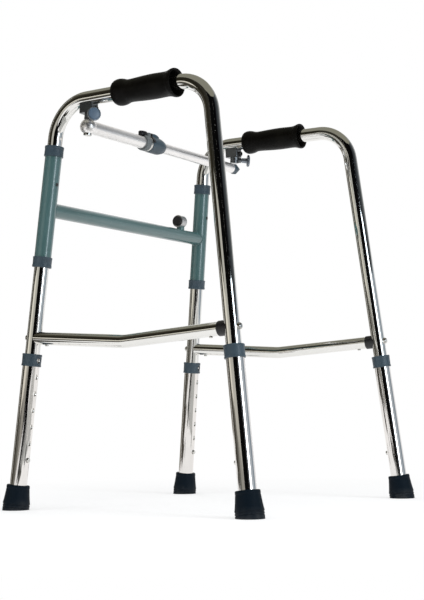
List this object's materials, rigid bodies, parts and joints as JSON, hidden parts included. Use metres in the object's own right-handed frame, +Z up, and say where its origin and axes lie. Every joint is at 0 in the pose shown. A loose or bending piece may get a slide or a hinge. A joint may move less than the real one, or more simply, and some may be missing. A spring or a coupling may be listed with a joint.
{
  "type": "walking frame",
  "caption": "Folding walking frame: two bent tube sides with black grips, height-adjustable rubber-footed legs, a painted front cross frame and a telescoping brace",
  "frame": {"origin": "on the floor, under the middle of the bounding box, with the legs at their shortest", "axes": "+Z up (longest extent); +Y to the front, the side with the cross tube; +X to the right of a user who faces the front"},
  "size_m": [0.5976, 0.512, 0.7134],
  "materials": {
    "chrome_tube": "bright chrome plating",
    "chrome_fittings": "bright plated",
    "satin_aluminium": "satin anodised",
    "satin_alloy": "satin cast",
    "teal_paint": "grey-teal gloss paint",
    "blue_grey_plastic": "blue-grey moulded",
    "grey_plastic": "grey moulded",
    "black_plastic": "black moulded",
    "black_vinyl": "soft black vinyl",
    "black_rubber": "black rubber",
    "black_steel": "blackened",
    "spring_steel": "bare spring steel"
  },
  "bodies": {
    "front_frame": {"left_sleeve": "teal_paint", "right_sleeve": "teal_paint", "cross_tube": "teal_paint", "sleeve_bushes": "blue_grey_plastic", "sleeve_rivets": "satin_alloy", "lock_post": "teal_paint", "lock_housing": "satin_alloy", "lock_guide": "black_plastic", "lock_spring": "spring_steel"},
    "left_side": {"left_frame_tube": "chrome_tube", "left_grip": "black_vinyl", "left_rail": "chrome_tube", "left_rail_saddles": "black_plastic", "left_rail_bolts": "chrome_fittings", "left_rail_screws": "chrome_fittings", "left_bracket": "satin_alloy", "left_bracket_bolt": "black_steel", "left_front_leg_spring": "spring_steel", "left_rear_leg_spring": "spring_steel", "left_pivot_pin": "chrome_fittings"},
    "left_thumb_screw": {"left_thumb_screw": "blue_grey_plastic"},
    "left_front_leg": {"left_front_leg_extension": "satin_aluminium", "left_front_leg_collar": "blue_grey_plastic", "left_front_leg_foot": "black_rubber"},
    "left_front_leg_button": {"left_front_leg_button": "chrome_fittings"},
    "left_rear_leg": {"left_rear_leg_extension": "satin_aluminium", "left_rear_leg_collar": "blue_grey_plastic", "left_rear_leg_foot": "black_rubber"},
    "left_rear_leg_button": {"left_rear_leg_button": "chrome_fittings"},
    "right_side": {"right_frame_tube": "chrome_tube", "right_grip": "black_vinyl", "right_rail": "chrome_tube", "right_rail_saddles": "black_plastic", "right_rail_bolts": "chrome_fittings", "right_rail_screws": "chrome_fittings", "right_bracket": "satin_alloy", "right_bracket_bolt": "black_steel", "right_front_leg_spring": "spring_steel", "right_rear_leg_spring": "spring_steel", "right_pivot_pin": "chrome_fittings"},
    "right_thumb_screw": {"right_thumb_screw": "blue_grey_plastic"},
    "right_front_leg": {"right_front_leg_extension": "satin_aluminium", "right_front_leg_collar": "blue_grey_plastic", "right_front_leg_foot": "black_rubber"},
    "right_front_leg_button": {"right_front_leg_button": "chrome_fittings"},
    "right_rear_leg": {"right_rear_leg_extension": "satin_aluminium", "right_rear_leg_collar": "blue_grey_plastic", "right_rear_leg_foot": "black_rubber"},
    "right_rear_leg_button": {"right_rear_leg_button": "chrome_fittings"},
    "brace_outer": {"brace_outer_tube": "satin_aluminium", "brace_left_eye": "satin_alloy", "brace_lock_housing": "grey_plastic", "brace_ferrule": "blue_grey_plastic"},
    "brace_button": {"brace_button": "black_plastic"},
    "brace_guide": {"brace_guide_rod": "black_plastic"},
    "brace_inner": {"brace_inner_tube": "satin_aluminium", "brace_right_eye": "blue_grey_plastic"},
    "lock_button": {"lock_button": "black_plastic"},
    "lock_lever": {"lock_lever": "black_steel"},
    "lock_bolt": {"lock_bolt": "black_steel"}
  },
  "joints": [
    {"name": "left_fold", "type": "hinge", "parent": "front_frame", "child": "left_side", "pos_m": [-0.24291, 0.18434, 0.44714], "axis": [0.038, -0.1059, 0.9936], "range_deg": [0, 78]},
    {"name": "left_thumb_screw_turn", "type": "hinge", "parent": "left_side", "child": "left_thumb_screw", "pos_m": [-0.24908, 0.07515, 0.65806], "axis": [-0.5908, -0.8044, -0.0632], "continuous": true},
    {"name": "left_front_leg_slide", "type": "slide", "parent": "left_side", "child": "left_front_leg", "axis": [-0.038, 0.1059, -0.9936], "range_m": [0, 0.168]},
    {"name": "left_front_leg_button_press", "type": "slide", "parent": "left_side", "child": "left_front_leg_button", "axis": [0.0391, 0.9938, 0.1044], "range_m": [0, 0.005], "stiffness_N_per_m": 600, "springref_m": -0.005, "deforming": ["left_front_leg_spring"]},
    {"name": "left_rear_leg_slide", "type": "slide", "parent": "left_side", "child": "left_rear_leg", "axis": [-0.0458, -0.1203, -0.9917], "range_m": [0, 0.168]},
    {"name": "left_rear_leg_button_press", "type": "slide", "parent": "left_side", "child": "left_rear_leg_button", "axis": [-0.0295, -0.9921, 0.1218], "range_m": [0, 0.005], "stiffness_N_per_m": 600, "springref_m": -0.005, "deforming": ["left_rear_leg_spring"]},
    {"name": "right_fold", "type": "hinge", "parent": "front_frame", "child": "right_side", "pos_m": [0.24291, 0.18434, 0.44714], "axis": [0.038, 0.1059, -0.9936], "range_deg": [0, 37]},
    {"name": "right_thumb_screw_turn", "type": "hinge", "parent": "right_side", "child": "right_thumb_screw", "pos_m": [0.24908, 0.07515, 0.65806], "axis": [0.5908, -0.8044, -0.0632], "continuous": true},
    {"name": "right_front_leg_slide", "type": "slide", "parent": "right_side", "child": "right_front_leg", "axis": [0.038, 0.1059, -0.9936], "range_m": [0, 0.168]},
    {"name": "right_front_leg_button_press", "type": "slide", "parent": "right_side", "child": "right_front_leg_button", "axis": [-0.0391, 0.9938, 0.1044], "range_m": [0, 0.005], "stiffness_N_per_m": 600, "springref_m": -0.005, "deforming": ["right_front_leg_spring"]},
    {"name": "right_rear_leg_slide", "type": "slide", "parent": "right_side", "child": "right_rear_leg", "axis": [0.0458, -0.1203, -0.9917], "range_m": [0, 0.168]},
    {"name": "right_rear_leg_button_press", "type": "slide", "parent": "right_side", "child": "right_rear_leg_button", "axis": [0.0295, -0.9921, 0.1218], "range_m": [0, 0.005], "stiffness_N_per_m": 600, "springref_m": -0.005, "deforming": ["right_rear_leg_spring"]},
    {"name": "brace_swing", "type": "hinge", "parent": "left_side", "child": "brace_outer", "pos_m": [-0.23795, 0.09315, 0.64144], "axis": [0.038, -0.1059, 0.9936], "range_deg": [-85.6, 0]},
    {"name": "brace_guide_slide", "type": "slide", "parent": "brace_outer", "child": "brace_guide", "axis": [-1, 0, 0], "range_m": [0, 0.0677]},
    {"name": "brace_inner_slide", "type": "slide", "parent": "brace_guide", "child": "brace_inner", "axis": [-1, 0, 0], "range_m": [0, 0.043]},
    {"name": "brace_button_press", "type": "slide", "parent": "brace_outer", "child": "brace_button", "axis": [0, 0, -1], "range_m": [0, 0.0018], "stiffness_N_per_m": 900, "springref_m": -0.002},
    {"name": "lock_button_press", "type": "slide", "parent": "front_frame", "child": "lock_button", "axis": [1, 0, 0], "range_m": [0, 0.0046], "stiffness_N_per_m": 700, "springref_m": -0.004},
    {"name": "lock_lever_turn", "type": "hinge", "parent": "front_frame", "child": "lock_lever", "pos_m": [0.172, 0.17788, 0.52195], "axis": [0, 1, 0], "range_deg": [0, 19.2]},
    {"name": "lock_bolt_slide", "type": "slide", "parent": "front_frame", "child": "lock_bolt", "axis": [-1, 0, 0], "range_m": [0, 0.005], "deforming": ["lock_spring"]}
  ],
  "couplings": [
    {"joint": "brace_swing", "follows": "left_fold", "ratio": -1.0967},
    {"joint": "brace_guide_slide", "follows": "left_fold", "m_per_rad": 0.0496},
    {"joint": "brace_inner_slide", "follows": "right_fold", "m_per_rad": 0.0663},
    {"joint": "lock_lever_turn", "follows": "lock_button_press", "rad_per_m": 72.464},
    {"joint": "lock_bolt_slide", "follows": "lock_button_press", "ratio": 1.029}
  ]
}
